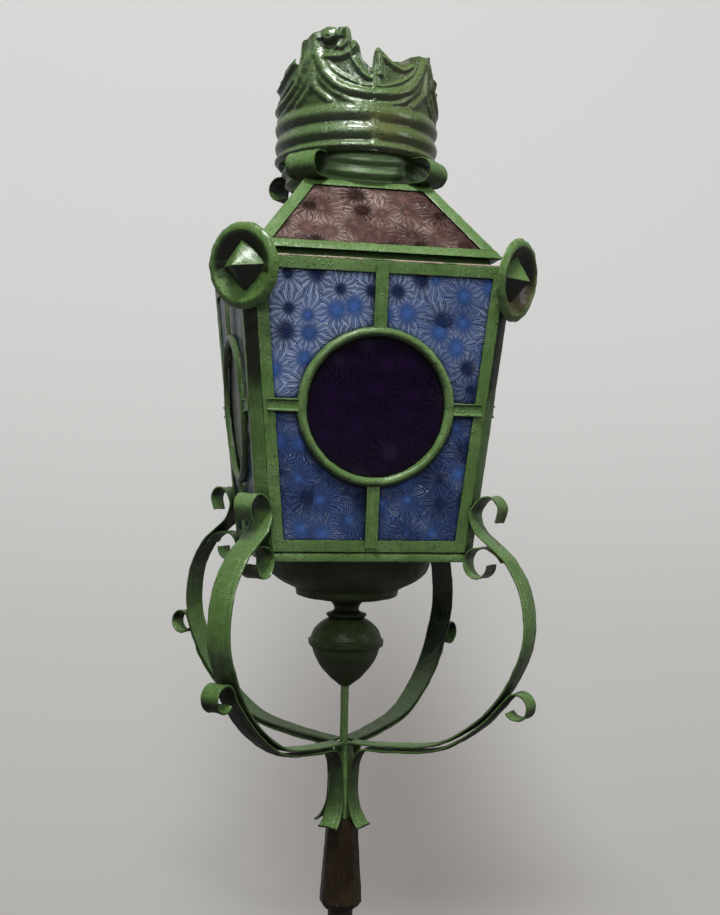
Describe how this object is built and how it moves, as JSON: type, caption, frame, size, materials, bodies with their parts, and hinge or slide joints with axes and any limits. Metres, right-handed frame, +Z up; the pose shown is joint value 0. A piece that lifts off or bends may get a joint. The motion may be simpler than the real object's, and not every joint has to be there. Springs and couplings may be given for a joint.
{
  "type": "processional lantern",
  "caption": "Hand-held processional lantern: tapered glazed body on scrolled strap arms above a pole ferrule, with a rear-hinged glazed roof and an embossed crown.",
  "frame": {"origin": "on the lantern's axis at the ferrule's lower shoulder, where the pole's end meets it", "axes": "+Z up along the stem, out of the pole; -Y out of the front glazed side; +X to the right seen from the front"},
  "size_m": [0.2908, 0.2863, 0.824],
  "materials": {
    "green_paint": "worn gloss",
    "dark_green_paint": "worn gloss",
    "aged_ferrule": "worn",
    "blue_glass": "cast pattern",
    "purple_glass": "cast pattern",
    "brown_glass": "cast pattern",
    "old_brass": "tarnished",
    "steel": "dull",
    "wax": "satin",
    "wick_cord": "charred"
  },
  "bodies": {
    "lantern": {"pole_ferrule": "aged_ferrule", "hub_core": "dark_green_paint", "arm_front_right": "green_paint", "arm_rear_right": "green_paint", "arm_rear_left": "green_paint", "arm_front_left": "green_paint", "leaf_front_right": "green_paint", "leaf_rear_right": "green_paint", "leaf_rear_left": "green_paint", "leaf_front_left": "green_paint", "corner_scrolls": "green_paint", "tie_rod": "dark_green_paint", "knob_lower": "dark_green_paint", "knob_upper": "dark_green_paint", "neck_collar": "dark_green_paint", "bowl": "dark_green_paint", "base_tray": "green_paint", "corner_posts": "green_paint", "side_frame_front": "green_paint", "side_frame_right": "green_paint", "side_frame_rear": "green_paint", "side_frame_left": "green_paint", "blue_glass_front": "blue_glass", "blue_glass_right": "blue_glass", "blue_glass_rear": "blue_glass", "blue_glass_left": "blue_glass", "purple_disc_front": "purple_glass", "purple_disc_right": "purple_glass", "purple_disc_rear": "purple_glass", "purple_disc_left": "purple_glass", "round_came_front": "green_paint", "round_came_right": "green_paint", "round_came_rear": "green_paint", "round_came_left": "green_paint", "cross_bars_front": "green_paint", "cross_bars_right": "green_paint", "cross_bars_rear": "green_paint", "cross_bars_left": "green_paint", "rosette_dish_front_right": "green_paint", "rosette_dish_front_left": "green_paint", "pyramid_studs": "green_paint", "top_ledge": "green_paint", "hinge_body_leaf": "green_paint", "hinge_pin": "steel", "candle_cup": "old_brass", "drip_pan": "old_brass"},
    "lid": {"eave_frame": "green_paint", "roof_hips": "green_paint", "roof_top_frame": "green_paint", "roof_pane_front": "brown_glass", "roof_pane_right": "brown_glass", "roof_pane_rear": "brown_glass", "roof_pane_left": "brown_glass", "hinge_lid_leaf": "green_paint", "crown_collar": "green_paint", "crown_scrolls": "green_paint", "crown": "green_paint"},
    "candle": {"candle": "wax", "wick": "wick_cord"}
  },
  "joints": [
    {"name": "lid_hinge", "type": "hinge", "parent": "lantern", "child": "lid", "pos_m": [0, 0.11, 0.5619], "axis": [-1, 0, 0], "range_deg": [0, 95]},
    {"name": "candle_lift", "type": "slide", "parent": "lantern", "child": "candle", "axis": [0, 0, 1], "range_m": [0, 0.06]}
  ]
}
